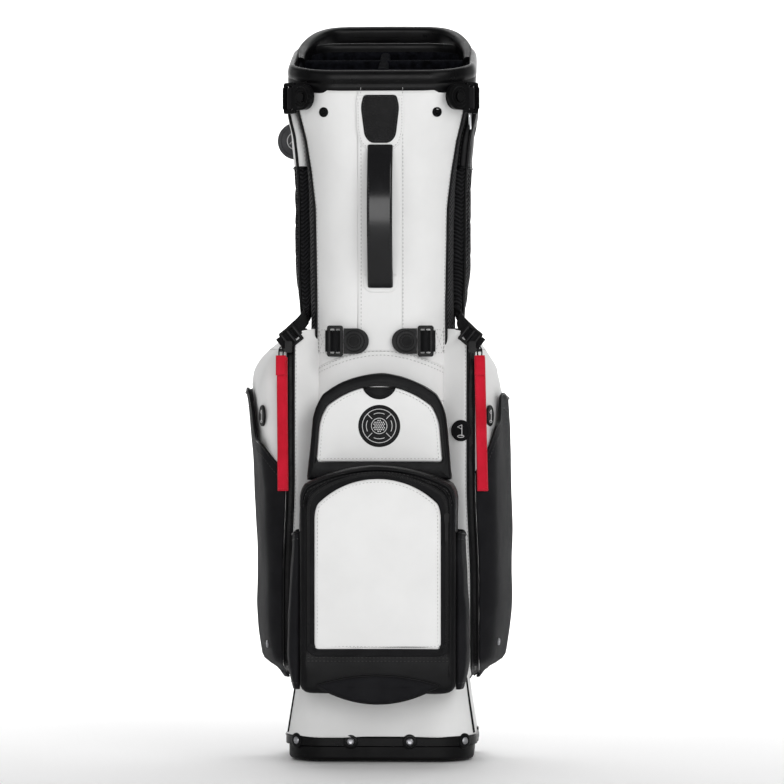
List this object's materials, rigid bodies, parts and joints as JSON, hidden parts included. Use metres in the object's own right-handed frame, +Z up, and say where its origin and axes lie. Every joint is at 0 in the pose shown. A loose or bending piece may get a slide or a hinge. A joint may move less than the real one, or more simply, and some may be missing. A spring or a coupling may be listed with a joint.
{
  "type": "golf stand bag",
  "caption": "Upright golf stand bag with a moulded collar, front and side pockets, shoulder straps and folding legs driven by a hinged foot.",
  "frame": {"origin": "on the ground under the middle of the foot", "axes": "+X to the right seen from the pocket side, +Y towards the legs, +Z up"},
  "size_m": [0.335, 0.325, 0.9138],
  "materials": {
    "white_leather": "satin",
    "black_leather": "satin",
    "black_mesh": "woven",
    "neoprene": "matt",
    "black_plastic": "satin",
    "rubber": "matt",
    "aluminium": "anodised satin",
    "steel": "brushed",
    "chrome": "polished",
    "red_ribbon": "woven",
    "fleece": "brushed",
    "zip_tape": "woven",
    "white_plastic": "satin",
    "grey_plastic": "grained",
    "badge": "satin",
    "foam": "matt",
    "fibreglass": "satin"
  },
  "bodies": {
    "bag": {"base_cup": "black_plastic", "base_rivets": "steel", "bottom_pad": "foam", "lower_front_apron": "white_leather", "lower_back_panel": "black_leather", "front_panel": "white_leather", "flank_panels": "black_mesh", "back_panel": "black_mesh", "stays": "fibreglass", "long_dividers": "fleece", "divider_grid": "fleece", "collar_ring": "black_plastic", "rear_grab_handle": "black_plastic", "spine_patch": "black_leather", "handle_tabs": "white_plastic", "spine_handle_grip": "black_leather", "snap_studs": "chrome", "valuables_pocket_shell": "black_leather", "ball_pocket_shell": "neoprene", "ball_pocket_zip": "zip_tape", "under_pouch": "neoprene", "bottle_sleeves": "neoprene", "left_side_pocket": "white_leather", "right_side_pocket": "white_leather", "pocket_gussets": "white_leather", "side_pocket_sleeves": "neoprene", "side_zip_tracks": "zip_tape", "pocket_badges": "badge", "clip_hardware": "black_plastic", "accessory_disc": "grey_plastic", "towel_ring_tab": "black_leather", "leg_bracket": "black_plastic", "leg_pins": "steel"},
    "foot": {"base_foot": "rubber", "foot_pads": "rubber", "foot_hinge_pin": "steel"},
    "flap": {"valuables_flap": "white_leather", "flap_pull_tab": "black_leather", "pocket_badge": "badge"},
    "door": {"ball_pocket_door": "white_leather"},
    "door_slider": {"ball_pocket_slider": "black_plastic"},
    "ring": {"towel_ring": "chrome"},
    "left_rod": {"left_push_rod": "steel"},
    "left_leg": {"left_leg_fittings": "black_plastic", "left_leg_tube": "aluminium", "left_leg_foot": "rubber"},
    "left_slider": {"left_zip_slider": "black_plastic"},
    "left_ribbon": {"left_ribbon_pull": "red_ribbon"},
    "left_strap": {"left_shoulder_strap": "black_mesh"},
    "left_lower_button": {"left_lower_clip_button": "black_plastic"},
    "left_upper_button": {"left_upper_clip_button": "black_plastic"},
    "right_rod": {"right_push_rod": "steel"},
    "right_leg": {"right_leg_fittings": "black_plastic", "right_leg_tube": "aluminium", "right_leg_foot": "rubber"},
    "right_slider": {"right_zip_slider": "black_plastic"},
    "right_ribbon": {"right_ribbon_pull": "red_ribbon"},
    "right_strap": {"right_shoulder_strap": "black_mesh"},
    "right_lower_button": {"right_lower_clip_button": "black_plastic"},
    "right_upper_button": {"right_upper_clip_button": "black_plastic"}
  },
  "joints": [
    {"name": "foot_hinge", "type": "hinge", "parent": "bag", "child": "foot", "pos_m": [0, 0.074, 0.012], "axis": [1, 0, 0], "range_deg": [0, 24]},
    {"name": "valuables_flap_hinge", "type": "hinge", "parent": "bag", "child": "flap", "pos_m": [0, -0.127, 0.367], "axis": [1, 0, 0], "range_deg": [0, 45]},
    {"name": "ball_pocket_door_hinge", "type": "hinge", "parent": "bag", "child": "door", "pos_m": [0, -0.18, 0.143], "axis": [1, 0, 0], "range_deg": [0, 95]},
    {"name": "ball_pocket_slider_slide", "type": "slide", "parent": "bag", "child": "door_slider", "axis": [0, 0, -1], "range_m": [0, 0.13]},
    {"name": "towel_ring_swing", "type": "hinge", "parent": "bag", "child": "ring", "pos_m": [0.1085, -0.05, 0.805], "axis": [0, -1, 0], "range_deg": [0, 80]},
    {"name": "left_leg_swing", "type": "hinge", "parent": "bag", "child": "left_leg", "pos_m": [-0.045, 0.12, 0.8], "axis": [0.8829, 0.4695, 0], "range_deg": [0, 32]},
    {"name": "left_rod_swing", "type": "hinge", "parent": "foot", "child": "left_rod", "pos_m": [-0.03, 0.113, 0.012], "axis": [-0.9973, -0.072, 0.0165], "range_deg": [0, 28.24]},
    {"name": "left_zip_slide", "type": "slide", "parent": "bag", "child": "left_slider", "axis": [0, 0, -1], "range_m": [0, 0.3]},
    {"name": "left_ribbon_swing", "type": "hinge", "parent": "left_slider", "child": "left_ribbon", "pos_m": [-0.121, -0.0932, 0.502], "axis": [0, 1, 0], "range_deg": [-6, 60]},
    {"name": "left_strap_swing", "type": "hinge", "parent": "bag", "child": "left_strap", "pos_m": [-0.113, 0.003, 0.822], "axis": [0, 1, 0], "range_deg": [0, 60]},
    {"name": "left_lower_button_press", "type": "slide", "parent": "bag", "child": "left_lower_button", "axis": [0, 1, 0], "range_m": [0, 0.002], "stiffness_N_per_m": 400, "springref_m": -0.0008},
    {"name": "left_upper_button_press", "type": "slide", "parent": "bag", "child": "left_upper_button", "axis": [0.7071, 0.7071, 0], "range_m": [0, 0.002], "stiffness_N_per_m": 400, "springref_m": -0.0008},
    {"name": "right_leg_swing", "type": "hinge", "parent": "bag", "child": "right_leg", "pos_m": [0.045, 0.12, 0.8], "axis": [0.8829, -0.4695, 0], "range_deg": [0, 32]},
    {"name": "right_rod_swing", "type": "hinge", "parent": "foot", "child": "right_rod", "pos_m": [0.03, 0.113, 0.012], "axis": [-0.9973, 0.072, -0.0165], "range_deg": [0, 28.24]},
    {"name": "right_zip_slide", "type": "slide", "parent": "bag", "child": "right_slider", "axis": [0, 0, -1], "range_m": [0, 0.3]},
    {"name": "right_ribbon_swing", "type": "hinge", "parent": "right_slider", "child": "right_ribbon", "pos_m": [0.121, -0.0932, 0.502], "axis": [0, -1, 0], "range_deg": [-6, 60]},
    {"name": "right_strap_swing", "type": "hinge", "parent": "bag", "child": "right_strap", "pos_m": [0.113, 0.003, 0.822], "axis": [0, -1, 0], "range_deg": [0, 60]},
    {"name": "right_lower_button_press", "type": "slide", "parent": "bag", "child": "right_lower_button", "axis": [0, 1, 0], "range_m": [0, 0.002], "stiffness_N_per_m": 400, "springref_m": -0.0008},
    {"name": "right_upper_button_press", "type": "slide", "parent": "bag", "child": "right_upper_button", "axis": [-0.7071, 0.7071, 0], "range_m": [0, 0.002], "stiffness_N_per_m": 400, "springref_m": -0.0008}
  ],
  "couplings": [
    {"joint": "left_leg_swing", "follows": "foot_hinge", "ratio": 1.3333},
    {"joint": "left_rod_swing", "follows": "foot_hinge", "ratio": 1.1767},
    {"joint": "right_leg_swing", "follows": "foot_hinge", "ratio": 1.3333},
    {"joint": "right_rod_swing", "follows": "foot_hinge", "ratio": 1.1767}
  ]
}
